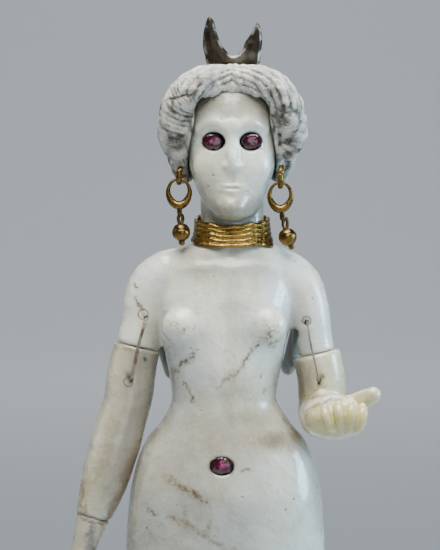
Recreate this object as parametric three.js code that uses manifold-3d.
// A carved alabaster statuette of a standing woman with a plaster wig, a bronze crescent, inlaid
// stones and gold jewellery, held by a metal display stand.
// Millimetres, +Z up. The figure faces -Y, and the middle of the stand's underside is the origin.
import * as THREE from 'three';
import { LoftGeometry } from 'three/addons/geometries/LoftGeometry.js';
import { mergeVertices } from 'three/addons/utils/BufferGeometryUtils.js';
import Module from 'manifold-3d';

// Driving dimensions
const FIGURE_HEIGHT = 248; // soles to the tips of the crescent
const FIT_GAP = 0.3; // between pieces that touch or sit in each other
const SLAB = { width: 52, front: 27, back: 15, height: 6, corner: 9 }; // low base carved under the feet
const PLATE = { width: 84, front: 40, back: 40, height: 6, corner: 5 }; // foot of the stand
const POST = { diameter: 4, behind: 22.5, socket: 4 }; // upright rod, its place and its depth in the plate
const FORK_DIAMETER = 2; // rod of the two arms that reach to the armpits
const SLEEVE_WALL = 0.4; // soft sleeve over the fork's ends
const TIE_DIAMETER = 0.4; // wire that ties an arm to its shoulder
const TIE_HOLE_DIAMETER = 1.5;
const STONE_BULGE = 1.5; // how far a stone reaches in and out of its bed
const BAND_THICKNESS = 0.55; // gold of the necklace
const EAR_WIRE_DIAMETER = 0.8;
const LINK_WIRE_DIAMETER = 0.6;

// The carved forms keep their proportions: each measure below is in hundredths of the figure's height.
const PART = FIGURE_HEIGHT / 100;
const GROUND = PLATE.height + SLAB.height; // height of the soles

// Everything on the head is placed above the chin.
const CHIN = 80.8;
const CROWN = CHIN + 13.8; // of the skull, under the wig
const WIG_TOP = CHIN + 14.8;
const HEAD_LEAN = 0.62;
const EYE_LINE = (CHIN + WIG_TOP) / 2;

// Level cuts through the body. half is half the width; front and back are depths from the middle;
// lean and mid move the middle sideways and in depth; square is 2 for an ellipse and more for a box.
const BODY = [
  { at: 'soles', up: -0.4, half: 4.5, front: 8.3, back: 3.6, square: 2.5 },
  { at: 'toes', up: 1.5, half: 4.6, front: 8.0, back: 3.9, square: 2.5 },
  { at: 'instep', up: 3.2, half: 4.2, front: 5.2, back: 3.8, square: 2.3 },
  { at: 'ankles', up: 5.2, half: 3.7, front: 3.2, back: 3.3, square: 2.2 },
  { at: 'shins', up: 11, half: 4.5, front: 3.1, back: 4.0, square: 2.2 },
  { at: 'calves', up: 19.5, half: 5.7, front: 3.6, back: 4.9, square: 2.2 },
  { at: 'knees', up: 28, half: 6.0, front: 4.7, back: 3.8, square: 2.2 },
  { at: 'thighs', up: 38, half: 8.0, front: 5.4, back: 4.7, square: 2.2 },
  { at: 'groin', up: 45.5, half: 9.3, front: 5.7, back: 5.4, square: 2.2 },
  { at: 'hips', up: 50, half: 9.48, front: 5.8, back: 5.7, square: 2.2 },
  { at: 'belly', up: 54, half: 9.2, front: 5.8, back: 5.6, square: 2.2 },
  { at: 'navel', up: 57.3, half: 8.55, front: 5.4, back: 5.0, square: 2.2 },
  { at: 'hip bones', up: 59.7, half: 7.55, front: 4.9, back: 4.5, square: 2.2 },
  { at: 'flanks', up: 61.6, half: 6.02, front: 4.5, back: 4.0, square: 2.2 },
  { at: 'waist', up: 63.8, half: 4.98, front: 4.1, back: 3.6, lean: -0.15, square: 2.2 },
  { at: 'ribs', up: 67.3, half: 5.52, front: 4.3, back: 3.9, lean: -0.08, square: 2.2 },
  { at: 'bust', up: 70.2, half: 6.2, front: 4.3, back: 4.3, square: 2.2 },
  { at: 'armpits', up: 73, half: 6.5, front: 4.1, back: 4.6, lean: 0.1, square: 2.2 },
  { at: 'collar', up: 76, half: 6.2, front: 3.5, back: 4.3, lean: 0.3, square: 2.2 },
  { at: 'shoulders', up: 77.85, half: 5.1, front: 3.0, back: 4.0, lean: 0.5, square: 2.1 },
  { at: 'neck base', up: 78.7, half: 3.45, front: 2.75, back: 3.8, lean: 0.6 },
  { at: 'throat', up: 79.5, half: 3.12, front: 2.5, back: 3.7, lean: 0.62 },
  { at: 'neck', up: 81.2, half: 3.0, front: 2.3, back: 3.6, lean: 0.62 },
  { at: 'nape', up: CHIN + 4.2, half: 3.0, front: 2.3, back: 3.8, lean: 0.62 },
];

const HEAD = [
  { at: 'under chin', up: CHIN, half: 1.0, front: 1.1, back: 1.5, mid: -2.9 },
  { at: 'chin', up: CHIN + 0.5, half: 1.85, front: 2.1, back: 2.6, mid: -2.45 },
  { at: 'lip fold', up: CHIN + 1.8, half: 2.8, front: 3.2, back: 3.8, mid: -1.55 },
  { at: 'mouth', up: CHIN + 3.2, half: 3.5, front: 4.0, back: 4.4, mid: -0.85 },
  { at: 'nostrils', up: CHIN + 5.2, half: 4.1, front: 4.75, back: 5.0, mid: -0.3 },
  { at: 'eyes', up: EYE_LINE, half: 4.4, front: 5.15, back: 5.3, mid: 0.1 },
  { at: 'brow', up: CHIN + 9.6, half: 4.5, front: 5.4, back: 5.4, mid: 0.3 },
  { at: 'hairline', up: CHIN + 11.7, half: 4.1, front: 4.9, back: 4.9, mid: 0.4 },
  { at: 'skull', up: CHIN + 13.2, half: 2.9, front: 3.4, back: 3.5, mid: 0.5 },
  { at: 'crown', up: CROWN, half: 1.0, front: 1.2, back: 1.2, mid: 0.5 },
].map((cut) => ({ ...cut, lean: HEAD_LEAN }));

// Soft swellings and hollows on the front or back: a place, a reach to each side, above and below.
const BODY_SWELLS = [
  { at: 'breasts', face: 'front', out: 3.9, up: 70.3, rise: 1.25, wide: 2.1, above: 2.5, below: 1.7 },
  { at: 'belly', face: 'front', out: 0, up: 54.5, rise: 0.5, wide: 4.2, above: 4, below: 3.5 },
  { at: 'buttocks', face: 'back', out: 4.0, up: 49.5, rise: 1.5, wide: 3.0, above: 4, below: 3 },
  { at: 'spine', face: 'back', out: 0, up: 64, rise: -0.45, wide: 1.0, above: 9, below: 7 },
  { at: 'kneecaps', face: 'front', out: 2.9, up: 28.2, rise: 0.45, wide: 1.3, above: 1.8, below: 1.8 },
];
const FACE_SWELLS = [
  { at: 'nose', face: 'front', out: 0, up: CHIN + 5.4, rise: 1.0, wide: 0.7, above: 1.9, below: 0.6 },
  { at: 'eye hollows', face: 'front', out: 1.8, up: EYE_LINE, rise: -0.3, wide: 1.0, above: 0.8, below: 0.8 },
  { at: 'lips', face: 'front', out: 0, up: CHIN + 3.1, rise: 0.3, wide: 1.2, above: 0.5, below: 0.5 },
  { at: 'chin', face: 'front', out: 0, up: CHIN + 1.1, rise: 0.35, wide: 1.1, above: 0.6, below: 0.8 },
];
// The groove that parts the legs, front and back.
const LEG_GROOVE = { top: 46.5, full: 38, bottom: -0.4, depth: 0.34, wide: 0.8 };

// Where each arm meets its shoulder. side is -1 for the figure's right arm, at -X, and 1 for its left.
const JOINTS = {
  right: { side: -1, out: 8.4, up: 68.75, tilt: 13, shoulder: 2.1 },
  left: { side: 1, out: 8.65, up: 68.05, tilt: 13, shoulder: 1.82 },
};

// Finish of each material
const finish = (color, roughness, metalness = 0) =>
  new THREE.MeshStandardMaterial({ color, roughness, metalness });
const ALABASTER = finish(0xd9d8cf, 0.42);
const PLASTER = finish(0xb9b6a8, 0.9);
const BRONZE = finish(0x3c352a, 0.6, 0.6);
const GOLD = finish(0xb9923f, 0.35, 1);
const GARNET = finish(0x4a0b26, 0.12);
const WIRE = finish(0x8a7f70, 0.6, 0.5);
const STEEL = finish(0x6c6e70, 0.5, 0.4);
const SLEEVE = finish(0x4b4d4d, 0.7);

const wasm = await Module();
wasm.setup();

/** Turns a closed three.js geometry into a solid that can be joined and cut. */
function solidOf(geometry) {
  const bare = new THREE.BufferGeometry();
  bare.setAttribute('position', geometry.getAttribute('position'));
  bare.setIndex(geometry.index);
  const merged = mergeVertices(bare, 1e-4);
  const corners = merged.index.array;
  const kept = [];
  for (let i = 0; i < corners.length; i += 3) {
    const [a, b, c] = corners.slice(i, i + 3);
    if (a !== b && b !== c && c !== a) kept.push(a, b, c);
  }
  return new wasm.Manifold(new wasm.Mesh({
    numProp: 3,
    vertProperties: new Float32Array(merged.getAttribute('position').array),
    triVerts: new Uint32Array(kept),
  }));
}

/** Makes the named mesh of a solid or of a closed geometry. */
function pieceOf(name, shape, material) {
  let geometry = shape;
  if (!shape.isBufferGeometry) {
    const { vertProperties, triVerts } = shape.getMesh();
    geometry = new THREE.BufferGeometry();
    geometry.setAttribute('position', new THREE.BufferAttribute(new Float32Array(vertProperties), 3));
    geometry.setIndex(new THREE.BufferAttribute(new Uint32Array(triVerts), 1));
    geometry.computeVertexNormals();
  }
  const mesh = new THREE.Mesh(geometry, material);
  mesh.name = name;
  return mesh;
}

const SMOOTHING = 0.04; // corners that stand out less than this are left out
const joined = (...solids) => solids.reduce((whole, next) => whole.add(next));
const cutAway = (solid, ...tools) => tools.reduce((left, tool) => left.subtract(tool), solid).simplify(SMOOTHING);
const lengths = (...shares) => new THREE.Vector3(...shares).multiplyScalar(PART);

/** Smooth value of one measure of a list of level cuts at a height, with no overshoot between them. */
function measure(cuts, key, up, missing = 0) {
  const value = (i) => cuts[i][key] ?? missing;
  const last = cuts.length - 1;
  if (up <= cuts[0].up) return value(0);
  if (up >= cuts[last].up) return value(last);
  const i = cuts.findIndex((cut) => cut.up > up) - 1;
  const slope = (j) => (value(j + 1) - value(j)) / (cuts[j + 1].up - cuts[j].up);
  const tangent = (j) => {
    if (j === 0) return slope(0);
    if (j === last) return slope(last - 1);
    const [before, after] = [slope(j - 1), slope(j)];
    return before * after <= 0 ? 0 : (2 * before * after) / (before + after);
  };
  const span = cuts[i + 1].up - cuts[i].up;
  const t = (up - cuts[i].up) / span;
  return value(i) * (1 + 2 * t) * (1 - t) ** 2 + value(i + 1) * t * t * (3 - 2 * t)
    + tangent(i) * span * t * (1 - t) ** 2 - tangent(i + 1) * span * t * t * (1 - t);
}

/** How far the swells of one face stand out at a place on it. */
function swellAt(swells, face, x, up) {
  return swells.filter((swell) => swell.face === face).reduce((sum, swell) => {
    const across = (Math.abs(x) - swell.out) / swell.wide;
    const along = (up - swell.up) / (up > swell.up ? swell.above : swell.below);
    return sum + swell.rise * Math.exp(-across * across - along * along);
  }, 0);
}

/** Share of the depth that the groove between the legs takes away. */
function grooveAt(x, up) {
  const { top, full, bottom, depth, wide } = LEG_GROOVE;
  if (up >= top || up < bottom) return 0;
  return depth * Math.min(1, (top - up) / (top - full)) * Math.exp(-((x / wide) ** 2));
}

/** One point of a level cut through a form, moved out by some millimetres. */
function cutPoint(form, up, angle, out = 0) {
  const { cuts, swells, groove } = form;
  const [c, s] = [Math.cos(angle), Math.sin(angle)];
  const power = 2 / measure(cuts, 'square', up, 2);
  const face = s < 0 ? 'front' : 'back';
  const x = measure(cuts, 'half', up) * Math.sign(c) * Math.abs(c) ** power;
  const depth = (measure(cuts, face, up) + swellAt(swells, face, x, up)) * (groove ? 1 - grooveAt(x, up) : 1);
  const y = depth * Math.sign(s) * Math.abs(s) ** power;
  const away = new THREE.Vector2(x, y).normalize().multiplyScalar(out);
  return lengths(x + measure(cuts, 'lean', up), y + measure(cuts, 'mid', up), up)
    .add(new THREE.Vector3(away.x, away.y, 0));
}

/** Lofts a form through its level cuts. Points of a cut are closer together at the front. */
function formSolid(form, heights, points, out = 0) {
  const crowding = 0.3;
  const sections = heights.map((up) => Array.from({ length: points }, (_, i) => {
    const turn = (2 * Math.PI * i) / points;
    return cutPoint(form, up, turn - crowding * Math.cos(turn), out);
  }));
  return solidOf(new LoftGeometry(sections, { capStart: true, capEnd: true }));
}

/** Evenly spaced values from one to another, ends included. */
const BODY_POINTS = 24; // round each level cut
const steps = (from, to, count) => Array.from({ length: count }, (_, i) => from + ((to - from) * i) / (count - 1));

/**
 * Lofts a round or flattened rod along a smooth path. radii gives a radius, or a pair of radii across
 * and along the flat, for each share of the length. first leaves out the rings before it.
 */
function rodSolid(points, radii, { rows = 12, sides = 10, closed = false, flat = null, first = 0 } = {}) {
  const curve = new THREE.CatmullRomCurve3(points, closed, closed ? 'catmullrom' : 'centripetal');
  const frames = curve.computeFrenetFrames(rows, closed);
  const sections = Array.from({ length: rows + 1 }, (_, i) => {
    const share = i / rows;
    const centre = curve.getPointAt(closed ? share % 1 : share);
    const [across, along] = [radii(share)].flat();
    const u = flat ? flat.clone().cross(frames.tangents[i]).normalize() : frames.normals[i];
    const v = new THREE.Vector3().crossVectors(frames.tangents[i], u);
    return Array.from({ length: sides }, (_, j) => {
      const turn = (2 * Math.PI * j) / sides;
      return centre.clone().addScaledVector(u, across * Math.cos(turn)).addScaledVector(v, (along ?? across) * Math.sin(turn));
    });
  });
  if (closed) [sections[rows]] = sections;
  return solidOf(new LoftGeometry(sections.slice(first), { capStart: !closed, capEnd: !closed }));
}

/** A radius function that runs smoothly through evenly spaced radii. */
function taper(radii) {
  const cuts = radii.map((radius, i) => ({ up: i / (radii.length - 1), radius }));
  return (share) => measure(cuts, 'radius', share);
}

/** A sphere scaled to three half sizes and set at a place. */
function eggSolid(centre, halves, across = 14, high = 9) {
  const geometry = new THREE.SphereGeometry(1, across, high);
  geometry.rotateX(Math.PI / 2).scale(halves.x, halves.y, halves.z).translate(centre.x, centre.y, centre.z);
  return solidOf(geometry);
}

/** A straight rod with round ends from one place to another. */
function fingerSolid(from, to, radius) {
  const axis = new THREE.Vector3().subVectors(to, from);
  const geometry = new THREE.CapsuleGeometry(radius, axis.length(), 2, 8);
  geometry.applyQuaternion(new THREE.Quaternion().setFromUnitVectors(new THREE.Vector3(0, 1, 0), axis.normalize()));
  const centre = new THREE.Vector3().addVectors(from, to).multiplyScalar(0.5);
  return solidOf(geometry.translate(centre.x, centre.y, centre.z));
}

/** A plate with round corners, from its underside up. */
function plateSolid({ width, front, back, height, corner }, bottom) {
  const [left, right] = [-width / 2, width / 2];
  const outline = new THREE.Shape();
  outline.moveTo(left + corner, -front);
  outline.lineTo(right - corner, -front);
  outline.absarc(right - corner, -front + corner, corner, -Math.PI / 2, 0);
  outline.absarc(right - corner, back - corner, corner, 0, Math.PI / 2);
  outline.absarc(left + corner, back - corner, corner, Math.PI / 2, Math.PI);
  outline.absarc(left + corner, -front + corner, corner, Math.PI, Math.PI * 1.5);
  const geometry = new THREE.ExtrudeGeometry(outline, { depth: height, bevelEnabled: false, curveSegments: 5 });
  return solidOf(geometry.translate(0, 0, bottom));
}

const bodyForm = { cuts: BODY, swells: BODY_SWELLS, groove: true };
const headForm = { cuts: HEAD, swells: FACE_SWELLS, groove: false };
const SKULL_ROWS = steps(CHIN, CROWN, 16);
const NECK_ROWS = [77, 77.9, 78.7, 79.5, 81.2, CHIN + 4.2];

/** Direction in which an arm hangs at its joint, and the joint's centre, in millimetres. */
function jointOf({ side, out, up, tilt }) {
  const lean = THREE.MathUtils.degToRad(tilt);
  return {
    centre: lengths(side * out, 0, up),
    down: new THREE.Vector3(side * Math.sin(lean), 0, -Math.cos(lean)),
  };
}

/** Shoulder and the stump of the upper arm, down to its flat end at the joint. */
function shoulderSolid(arm) {
  const { centre, down } = jointOf(arm);
  const path = [
    lengths(arm.side * 2.4, 0.4, 75.7),
    lengths(arm.side * 5.4, 0.3, 75.6),
    lengths(arm.side * 7.0, 0.2, 74.5),
    lengths(arm.side * 7.7, 0.1, 72.8),
    centre.clone().addScaledVector(down, -2.3 * PART),
    centre,
  ];
  const radii = [2.0, 2.3, 2.22, 2.05, (arm.shoulder + 2.05) / 2, arm.shoulder].map((radius) => radius * PART);
  return rodSolid(path, taper(radii), { rows: 9, sides: 14 });
}

// A tie runs from a hole in the shoulder, over the joint, to a hole in the arm.
const TIES = {
  right: [[-7.6, 71.4], [-9.0, 65.6]],
  left: [[7.7, 71.0], [8.85, 65.5]],
};
const TIE_FRONT = { shoulder: -2.25, over: -2.72, arm: -2.62 }; // depths of the wire along its way

/** The short bore that takes one end of a tie. */
function tieHole([x, up]) {
  const bore = new THREE.CylinderGeometry(TIE_HOLE_DIAMETER / 2, TIE_HOLE_DIAMETER / 2, 3 * PART, 10);
  const centre = lengths(x, -2.5, up);
  return solidOf(bore.translate(centre.x, centre.y, centre.z));
}

/** The wire of a tie, from inside one hole to inside the other. */
function tieSolid([[fromX, fromUp], [toX, toUp]]) {
  const between = (share, front) => lengths(fromX + (toX - fromX) * share, front, fromUp + (toUp - fromUp) * share);
  const path = [
    between(0, -1.5),
    between(0, TIE_FRONT.shoulder),
    between(0.12, TIE_FRONT.over),
    between(0.5, TIE_FRONT.over),
    between(0.9, TIE_FRONT.over),
    between(1, TIE_FRONT.arm),
    between(1, -1.6),
  ];
  return rodSolid(path, () => TIE_DIAMETER / 2, { rows: 12, sides: 5 });
}

const EYES = { out: 1.78, up: EYE_LINE, front: -4.25, halfWidth: 1.1, halfHeight: 0.85 };
const NAVEL = { x: -0.35, up: 57.7, front: -5.66, halfWidth: 1.2, halfHeight: 0.88 };

/** A stone with a domed face. out makes it larger all round, for its bed. */
function stoneSolid({ x, up, front, halfWidth, halfHeight }, out = 0) {
  const halves = new THREE.Vector3(halfWidth * PART + out, STONE_BULGE / 2 + out, halfHeight * PART + out);
  return eggSolid(lengths(x, front, up), halves, 12, 7);
}

const STONES = {
  eye_right: { ...EYES, x: HEAD_LEAN - EYES.out },
  eye_left: { ...EYES, x: HEAD_LEAN + EYES.out },
  navel_stone: NAVEL,
};

/** The alabaster figure: head, body, stumps of the arms, legs and low base, all one carving. */
function figureSolid() {
  const rows = [...steps(-0.4, 5.2, 5), ...steps(9, 46, 9), ...steps(48, 76, 16), ...NECK_ROWS];
  const body = formSolid(bodyForm, rows, BODY_POINTS);
  const head = formSolid(headForm, SKULL_ROWS, BODY_POINTS);
  const slab = plateSolid(SLAB, -SLAB.height);
  const carved = joined(body, head, shoulderSolid(JOINTS.right), shoulderSolid(JOINTS.left), slab);
  const beds = Object.values(STONES).map((stone) => stoneSolid(stone, FIT_GAP));
  return cutAway(carved, ...beds, tieHole(TIES.right[0]), tieHole(TIES.left[0]));
}

/** The figure's right arm, which hangs at its side, with a slack hand. */
function rightArmSolid() {
  const { centre, down } = jointOf(JOINTS.right);
  const top = centre.clone().addScaledVector(down, FIT_GAP);
  const path = [
    top,
    top.clone().addScaledVector(down, 2.5 * PART),
    lengths(-9.35, -0.1, 63.5),
    lengths(-10.2, -0.4, 60.6),
    lengths(-11.1, -0.7, 57.6),
    lengths(-12.0, -0.9, 54.4),
    lengths(-13.0, -1.1, 51.3),
    lengths(-13.8, -1.2, 48.3),
    lengths(-14.5, -1.2, 44.8),
    lengths(-15.0, -1.1, 41.0),
  ];
  const thick = taper([2.25, 2.33, 2.3, 2.42, 2.35, 2.02, 1.6, 1.2, 1.15, 0.85, 0.5].map((r) => r * PART));
  const wide = taper([2.25, 2.3, 2.3, 2.35, 2.25, 2.0, 1.7, 1.55, 2.0, 1.75, 0.8].map((r) => r * PART));
  const side = new THREE.Vector3(0, 1, 0);
  const arm = rodSolid(path, (share) => [thick(share), wide(share)], { rows: 16, sides: 14, flat: side });
  const thumb = fingerSolid(lengths(-14.0, -2.4, 46.6), lengths(-14.2, -3.6, 43.4), 0.55 * PART);
  return cutAway(joined(arm, thumb), tieHole(TIES.right[1]));
}

// The cupped left hand: the palm, and the four fingers, which curl up in front of it.
const HAND = { x: 9.65, front: -14.4, up: 63.1, halfWidth: 2.85, halfLength: 3.6, halfHeight: 2.05 };
const FINGERS = { little: 9.3, index: 12.0, radius: 0.68 };
const THUMB = { base: [11.1, -13.8, 64.0], tip: [13.35, -15.2, 65.15], radius: 0.66 };

/** The figure's left arm, bent forward at the elbow, with its hand held palm up. */
function leftArmSolid() {
  const { centre, down } = jointOf(JOINTS.left);
  const top = centre.clone().addScaledVector(down, FIT_GAP);
  const elbow = lengths(9.3, 0.2, 62.2);
  const upper = rodSolid([top, top.clone().addScaledVector(down, 2.4 * PART), elbow],
    taper([2.2, 2.28, 2.2].map((r) => r * PART)), { rows: 4, sides: 14 });
  const bend = eggSolid(elbow, lengths(2.18, 2.18, 2.18), 14, 8);
  const forearm = rodSolid([elbow, lengths(9.1, -5, 62.3), lengths(9.2, -12, 62.7)],
    taper([2.15, 2.15, 1.95, 1.6].map((r) => r * PART)), { rows: 5, sides: 12 });
  const palm = eggSolid(lengths(HAND.x, HAND.front, HAND.up), lengths(HAND.halfWidth, HAND.halfLength, HAND.halfHeight), 14, 9);
  const fingers = steps(FINGERS.little, FINGERS.index, 4).map((x) => {
    const knuckle = lengths(x, HAND.front - 1.3, HAND.up - 0.8);
    const middle = lengths(x, HAND.front - 3.2, HAND.up - 0.4);
    const tip = lengths(x, HAND.front - 2.9, HAND.up + 1.1);
    return joined(fingerSolid(knuckle, middle, FINGERS.radius * PART), fingerSolid(middle, tip, FINGERS.radius * 0.9 * PART));
  });
  const thumb = fingerSolid(lengths(...THUMB.base), lengths(...THUMB.tip), THUMB.radius * PART);
  return cutAway(joined(upper, bend, forearm, palm, ...fingers, thumb), tieHole(TIES.left[1]));
}

// The roll of hair that frames the face, from the parting to its end beside the cheek.
const ROLL = [
  { out: 0, front: -3.7, up: CHIN + 13.5, radius: 1.2 },
  { out: 2.7, front: -3.7, up: CHIN + 13.1, radius: 1.4 },
  { out: 4.75, front: -3.2, up: CHIN + 11.3, radius: 1.7 },
  { out: 5.4, front: -2.5, up: CHIN + 9.4, radius: 1.72 },
  { out: 5.62, front: -1.9, up: CHIN + 7.2, radius: 1.65 },
  { out: 5.2, front: -1.5, up: CHIN + 5.4, radius: 1.1 },
];
const CAP = { half: 6.1, high: 6 }; // hair over the skull
const NAPE_HAIR = { up: 6.6, high: 3.2 }; // hair at the nape, above the chin
const LOCKS = { count: 5, carve: 0.13, turns: 0.75 }; // flutes of the roll and how far they wind round it

/** One side of the roll, fluted into locks that wind round it more and more. */
function rollSolid(side) {
  const curve = new THREE.CatmullRomCurve3(ROLL.map(({ out, front, up }) => lengths(HEAD_LEAN + side * out, front, up)));
  const radius = taper(ROLL.map((stop) => stop.radius * PART));
  const [rows, sides] = [13, LOCKS.count * 3];
  const sections = steps(0, 1, rows).map((share) => {
    const tangent = curve.getTangentAt(share);
    const v = new THREE.Vector3(0, 1, 0).cross(tangent).normalize();
    const u = new THREE.Vector3().crossVectors(v, tangent);
    const wind = side * 2 * Math.PI * LOCKS.turns * share * share;
    return Array.from({ length: sides }, (_, j) => {
      const turn = (2 * Math.PI * j) / sides;
      const flute = 1 - LOCKS.carve * (j % 3 === 0 ? 1 : 0);
      return curve.getPointAt(share)
        .addScaledVector(u, radius(share) * flute * Math.cos(turn + wind))
        .addScaledVector(v, radius(share) * flute * Math.sin(turn + wind));
    });
  });
  return solidOf(new LoftGeometry(sections, { capStart: true, capEnd: true }));
}

/** The plaster wig: a cap over the skull, the hair at the nape and the roll round the face. */
function wigSolid() {
  const cap = eggSolid(lengths(HEAD_LEAN, 1.1, WIG_TOP - CAP.high), lengths(CAP.half, 6.2, CAP.high), 18, 11);
  const nape = eggSolid(lengths(HEAD_LEAN, 2.6, CHIN + NAPE_HAIR.up), lengths(CAP.half, 4.6, NAPE_HAIR.high), 16, 9);
  const hair = joined(cap, nape, rollSolid(-1), rollSolid(1));
  const skull = formSolid(headForm, SKULL_ROWS, BODY_POINTS, FIT_GAP);
  const neck = formSolid(bodyForm, NECK_ROWS, BODY_POINTS, FIT_GAP);
  return cutAway(hair, skull, skull.translate([0, 0, FIT_GAP]), neck, faceOpening(), crescentBed());
}

/** The space in front of the face and neck, which the wig leaves bare. */
function faceOpening() {
  const outline = new THREE.Shape();
  const [halfWidth, top, spring, bottom] = [4.15, CHIN + 12.55, CHIN + 8.4, CHIN - 0.8].map((share) => share * PART);
  const middle = HEAD_LEAN * PART;
  outline.moveTo(middle - halfWidth, bottom);
  outline.lineTo(middle + halfWidth, bottom);
  outline.lineTo(middle + halfWidth, spring);
  outline.absellipse(middle, spring, halfWidth, top - spring, 0, Math.PI, false);
  outline.closePath();
  const depth = 12 * PART;
  const geometry = new THREE.ExtrudeGeometry(outline, { depth, bevelEnabled: false, curveSegments: 14 });
  return solidOf(geometry.rotateX(Math.PI / 2).translate(0, 0.6 * PART, 0));
}

// The crescent's outline above its foot, up the outer edge of each horn to the tip and down the inner edge.
// One horn's tip is chipped lower than the other's.
const CRESCENT = {
  y: -1.2,
  halfDepth: 0.85,
  bevel: 0.28,
  foot: WIG_TOP - 0.3,
  rightHorn: [[-1.6, 0], [-1.96, 1.1], [-2.15, 2], [-2.15, 2.8], [-1.96, 3.75], [-1.58, 4.7], [-1.15, 4.4],
    [-0.85, 3.4], [-0.5, 2.4], [-0.05, 1.65], [0.55, 1.1]],
  leftHorn: [[3.05, 0], [3.35, 1.3], [3.48, 2.1], [3.48, 2.9], [3.3, 3.75], [3.0, 4.25], [2.72, 3.85],
    [2.45, 3.2], [2.15, 2.7], [1.85, 2.3], [1.6, 1.65], [1.0, 1.1]],
};

/** The bronze crescent, a bevelled plate. */
function crescentSolid() {
  const { y, halfDepth, bevel, foot, rightHorn, leftHorn } = CRESCENT;
  const outline = new THREE.Shape([...leftHorn, ...[...rightHorn].reverse()].map(([x, up]) => new THREE.Vector2(x, foot + up)));
  const depth = 2 * (halfDepth - bevel);
  const geometry = new THREE.ExtrudeGeometry(outline, {
    depth, bevelEnabled: true, bevelThickness: bevel, bevelSize: bevel * 0.6, bevelOffset: -bevel * 0.6, bevelSegments: 1,
  });
  return solidOf(geometry.rotateX(Math.PI / 2).translate(0, y + depth / 2, 0).scale(PART, PART, PART));
}

/** The slot in the wig that takes the crescent's foot. */
function crescentBed() {
  const { y, halfDepth, foot, rightHorn, leftHorn } = CRESCENT;
  const [left, right] = [rightHorn[1][0], leftHorn[1][0]];
  const [width, depth, height] = [(right - left) * PART + 2 * FIT_GAP, 2 * (halfDepth * PART + FIT_GAP), 2 * PART];
  const bed = new THREE.BoxGeometry(width, depth, height);
  return solidOf(bed.translate(((left + right) / 2) * PART, y * PART, foot * PART - FIT_GAP + height / 2));
}

const NECKLACE = { top: CHIN + 0.05, bottom: CHIN - 2, dip: 0.22, ridges: 4, ridge: 0.3, around: 24 };

/** The ribbed gold band round the neck, which dips towards the front. */
function necklaceSolid() {
  const { top, bottom, dip, ridges, ridge, around } = NECKLACE;
  const rib = steps(0, 1, 2 * ridges + 1).map((share, i) => [share, BAND_THICKNESS + (i % 2 ? ridge : 0)]);
  const profile = [[1, 0], [0, 0], ...rib];
  const sections = Array.from({ length: around + 1 }, (_, i) => {
    const angle = (-2 * Math.PI * (i % around)) / around;
    return profile.map(([share, out]) => {
      const level = bottom + (top - bottom) * share;
      const depth = cutPoint(bodyForm, level, angle).y / PART;
      const up = level + dip * depth;
      return cutPoint(bodyForm, up, angle, FIT_GAP + 0.1 + out);
    });
  });
  return solidOf(new LoftGeometry(sections));
}

// Each earring hangs from under the wig: a wire, a hoop, a link and a bead. tip leans the bead outward.
const EARRINGS = {
  right: { hook: [-4.25, CHIN + 4.9], hoop: [-4.42, CHIN + 2.6], bead: [-4.2, CHIN - 1.2], lean: 0.05 },
  left: { hook: [5.3, CHIN + 5], hoop: [5.2, CHIN + 2.25], bead: [5.9, CHIN - 1.65], lean: 0.35 },
};
const EARRING = {
  front: -2.2, hoopWide: 1.12, hoopHigh: 1.3, hoopThin: 0.13, hoopThick: 0.36, link: 0.42, bead: 0.86, knob: 0.3,
};

/** The wire that goes up from the hoop under the wig, and hooks round the hoop. */
function earWireSolid({ hook: [x, up], hoop: [hoopX, hoopUp] }) {
  const { front, hoopHigh, hoopThin } = EARRING;
  const wireRadius = EAR_WIRE_DIAMETER / 2;
  const clear = (EAR_WIRE_DIAMETER / 2 + FIT_GAP) / PART + hoopThin;
  const rim = hoopUp + hoopHigh;
  const path = [
    lengths(x, front + clear + 0.25, up),
    lengths((x + hoopX) / 2, front + clear, (up + rim) / 2 + 0.3),
    lengths(hoopX, front + clear, rim),
    lengths(hoopX, front, rim - clear),
    lengths(hoopX, front - clear, rim),
    lengths(hoopX, front - clear * 0.9, rim + 0.7),
  ];
  return rodSolid(path, () => wireRadius, { rows: 11, sides: 6 });
}

/** The drop-shaped hoop, thin above and thick below. */
function hoopSolid({ hoop: [x, up] }) {
  const { front, hoopWide, hoopHigh, hoopThin, hoopThick } = EARRING;
  const path = Array.from({ length: 12 }, (_, i) => {
    const turn = Math.PI / 2 + (2 * Math.PI * i) / 12;
    const narrow = turn > Math.PI ? 1 - 0.12 * Math.max(0, -Math.sin(turn)) : 1;
    return lengths(x + hoopWide * narrow * Math.cos(turn), front, up + hoopHigh * Math.sin(turn));
  });
  const radius = (share) => (hoopThin + (hoopThick - hoopThin) * Math.sin(Math.PI * share) ** 2) * PART;
  return rodSolid(path, radius, { rows: 16, sides: 6, closed: true });
}

/** The small round link between hoop and bead, square to the hoop. */
function linkSolid({ hoop: [x, up], bead: [beadX, beadUp] }) {
  const { front, hoopHigh, hoopThick, link, bead } = EARRING;
  const below = up - hoopHigh - hoopThick - FIT_GAP / PART;
  const above = beadUp + bead + FIT_GAP / PART;
  const centre = new THREE.Vector2((x + beadX) / 2, (below + above) / 2);
  const reach = (below - above) / 2 - LINK_WIRE_DIAMETER / 2 / PART;
  const path = Array.from({ length: 8 }, (_, i) => {
    const turn = (2 * Math.PI * i) / 8;
    return lengths(centre.x + link * Math.cos(turn), front, centre.y + Math.max(reach, 0.2) * Math.sin(turn));
  });
  return rodSolid(path, () => LINK_WIRE_DIAMETER / 2, { rows: 10, sides: 6, closed: true });
}

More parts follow.
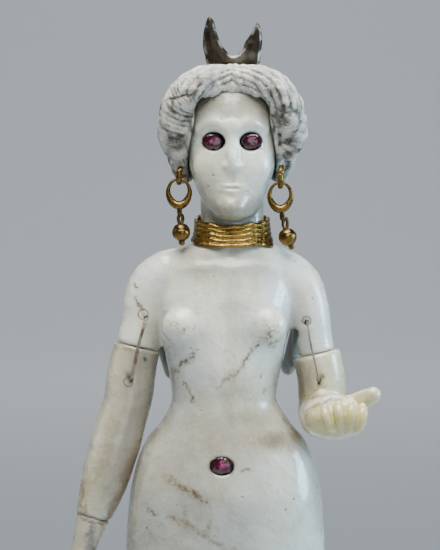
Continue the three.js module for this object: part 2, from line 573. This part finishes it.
/** The hollow-looking gold bead with a knob below, turned about its own axis. */
function beadSolid({ bead: [x, up], lean }) {
  const { front, bead, knob } = EARRING;
  const arc = steps(Math.PI / 2, -1.25, 7).map((turn) => new THREE.Vector2(bead * Math.cos(turn), bead * Math.sin(turn)));
  const end = arc[arc.length - 1];
  const profile = [
    new THREE.Vector2(0, bead),
    ...arc.slice(1),
    new THREE.Vector2(knob, end.y - knob * 0.5),
    new THREE.Vector2(knob * 0.8, end.y - knob * 1.3),
    new THREE.Vector2(0, end.y - knob * 1.6),
  ].reverse().map((point) => point.multiplyScalar(PART));
  const geometry = new THREE.LatheGeometry(profile, 12);
  const place = lengths(x, front, up);
  geometry.rotateX(Math.PI / 2).rotateY(-lean).translate(place.x, place.y, place.z);
  return solidOf(geometry);
}

// The fork's two ends in the gaps between the chest and the arms: foot and tip of each sleeve.
const FORK = {
  right: [[-5.2, 3.2, 65.9], [-6.3, 2.8, 69.6]],
  left: [[6.1, 3.2, 66.4], [6.95, 2.8, 70.0]],
};
const FORK_ROWS = 24; // rings along each arm of the fork
const SLEEVE_ROWS = 7; // of those, how many the sleeve covers
const YOKE_UP = 66.4; // where the fork leaves the post

/** Path of one arm of the fork, from the post out behind the back and forward to the armpit. */
function forkPath([foot, tip]) {
  const side = Math.sign(foot[0]);
  const behind = POST.behind / PART;
  const [x, y, up] = foot;
  return [
    lengths(0, behind, YOKE_UP),
    lengths(side * 2.2, behind - 0.1, YOKE_UP + 0.1),
    lengths(x * 0.85, behind - 1.6, YOKE_UP + 0.1),
    lengths(x, y + 2, up - 0.1),
    lengths(x, y, up),
    lengths(...tip),
  ];
}

/** Post and fork: one bent and soldered piece, socketed in the plate. */
function standRodSolid() {
  const radius = POST.diameter / 2;
  const bottom = -SLAB.height - POST.socket;
  const post = rodSolid(
    [new THREE.Vector3(0, POST.behind, bottom), new THREE.Vector3(0, POST.behind, (YOKE_UP + 0.8) * PART)],
    () => radius, { rows: 1, sides: 12 },
  );
  const arms = Object.values(FORK).map((ends) => rodSolid(forkPath(ends), () => FORK_DIAMETER / 2, { rows: FORK_ROWS, sides: 6 }));
  return joined(post, ...arms);
}

/** A soft sleeve over one end of the fork, closed and round at the tip. */
function sleeveSolid(ends) {
  const tip = lengths(...ends[1]);
  const inner = FORK_DIAMETER / 2 + FIT_GAP;
  const outer = inner + SLEEVE_WALL;
  const first = FORK_ROWS - SLEEVE_ROWS;
  const tube = (radius, start) => joined(
    rodSolid(forkPath(ends), () => radius, { rows: FORK_ROWS, sides: 6, first: start }),
    eggSolid(tip, new THREE.Vector3(radius, radius, radius), 6, 4),
  );
  return cutAway(tube(outer, first), tube(inner, first - 1));
}

/** The stand's foot plate, with the blind hole that takes the post. */
function plateWithSocket() {
  const radius = POST.diameter / 2 + FIT_GAP / 2;
  const hole = new THREE.CylinderGeometry(radius, radius, 2 * (POST.socket + FIT_GAP), 12);
  hole.rotateX(Math.PI / 2).translate(0, POST.behind, -SLAB.height);
  return plateSolid(PLATE, -GROUND).subtract(solidOf(hole));
}

const statuette = new THREE.Group();
statuette.position.z = GROUND;
statuette.add(
  pieceOf('figure', figureSolid(), ALABASTER),
  pieceOf('right_arm', rightArmSolid(), ALABASTER),
  pieceOf('left_arm', leftArmSolid(), ALABASTER),
  pieceOf('wig', wigSolid(), PLASTER),
  pieceOf('crescent', crescentSolid(), BRONZE),
  pieceOf('necklace', necklaceSolid(), GOLD),
  pieceOf('stand_plate', plateWithSocket(), STEEL),
  pieceOf('stand_fork', standRodSolid(), STEEL),
);
Object.entries(STONES).forEach(([name, stone]) => statuette.add(pieceOf(name, stoneSolid(stone), GARNET)));
['right', 'left'].forEach((side) => statuette.add(
  pieceOf(`ear_wire_${side}`, earWireSolid(EARRINGS[side]), GOLD),
  pieceOf(`hoop_${side}`, hoopSolid(EARRINGS[side]), GOLD),
  pieceOf(`link_${side}`, linkSolid(EARRINGS[side]), GOLD),
  pieceOf(`bead_${side}`, beadSolid(EARRINGS[side]), GOLD),
  pieceOf(`tie_${side}`, tieSolid(TIES[side]), WIRE),
  pieceOf(`sleeve_${side}`, sleeveSolid(FORK[side]), SLEEVE),
));

export default statuette;
